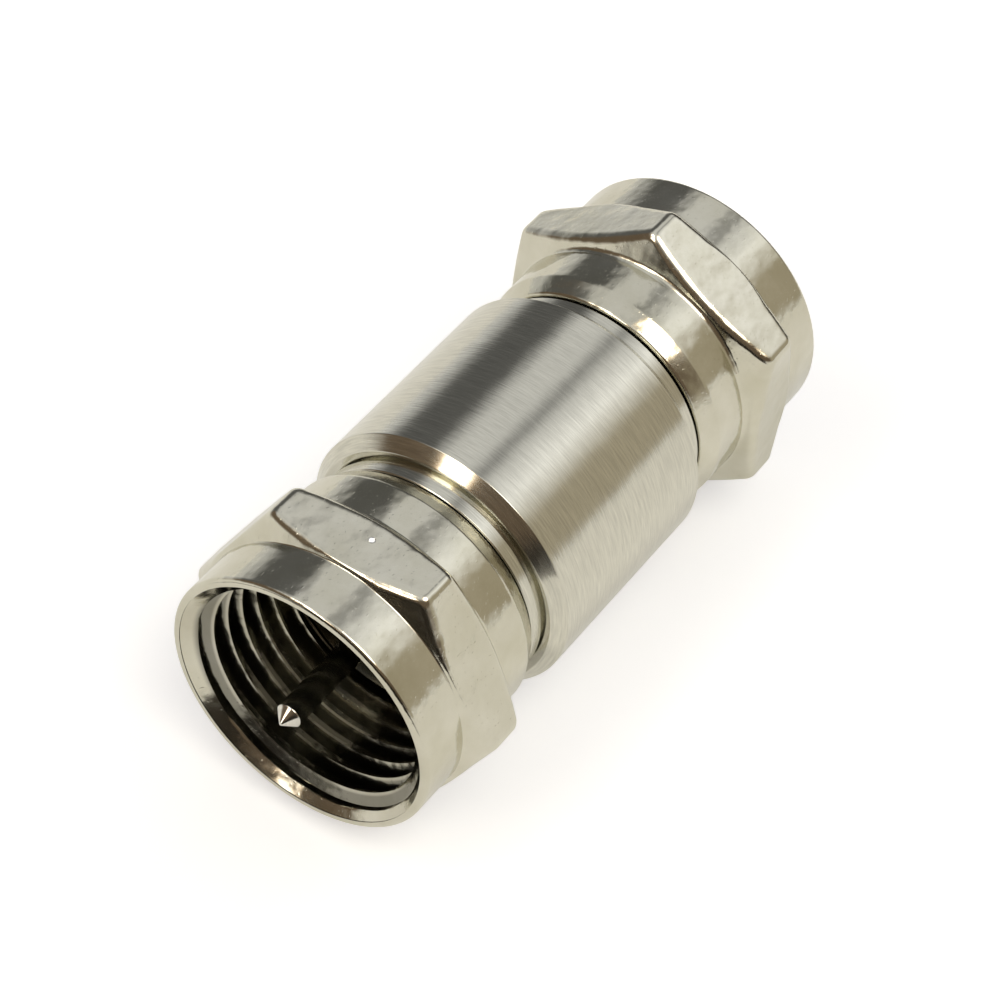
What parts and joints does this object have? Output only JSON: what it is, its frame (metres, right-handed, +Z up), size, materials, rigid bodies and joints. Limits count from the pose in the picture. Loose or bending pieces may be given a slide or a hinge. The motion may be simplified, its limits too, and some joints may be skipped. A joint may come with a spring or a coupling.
{
  "type": "f connector coupler",
  "caption": "Double-ended male F connector: a turned barrel with a free-spinning hex coupling nut and a pointed centre pin at each end.",
  "frame": {"origin": "on the axis, midway between the two ends", "axes": "+X along the axis towards the right-hand end, +Z up as the connector lies, the left nut with a flat up and the right nut with a corner up"},
  "size_m": [0.027, 0.0128, 0.0128],
  "materials": {
    "barrel_satin_nickel": "brass turned and nickel plated, fine lines round the barrel, satin",
    "nut_nickel": "brass nickel plated, bright but softly uneven",
    "post_nickel": "brass turned and nickel plated",
    "pin_nickel": "brass turned and nickel plated, bright",
    "insulator_plastic": "natural white polyethylene, smooth"
  },
  "bodies": {
    "connector": {"barrel": "barrel_satin_nickel", "post_left": "post_nickel", "post_right": "post_nickel", "insulator_left": "insulator_plastic", "insulator_right": "insulator_plastic", "centre_pin": "pin_nickel"},
    "nut_left": {"coupling_nut_left": "nut_nickel"},
    "nut_right": {"coupling_nut_right": "nut_nickel"}
  },
  "joints": [
    {"name": "nut_left_swivel", "type": "hinge", "parent": "connector", "child": "nut_left", "pos_m": [-0.00602, 0, 0], "axis": [1, 0, 0], "continuous": true},
    {"name": "nut_right_swivel", "type": "hinge", "parent": "connector", "child": "nut_right", "pos_m": [0.00602, 0, 0], "axis": [1, 0, 0], "continuous": true}
  ]
}
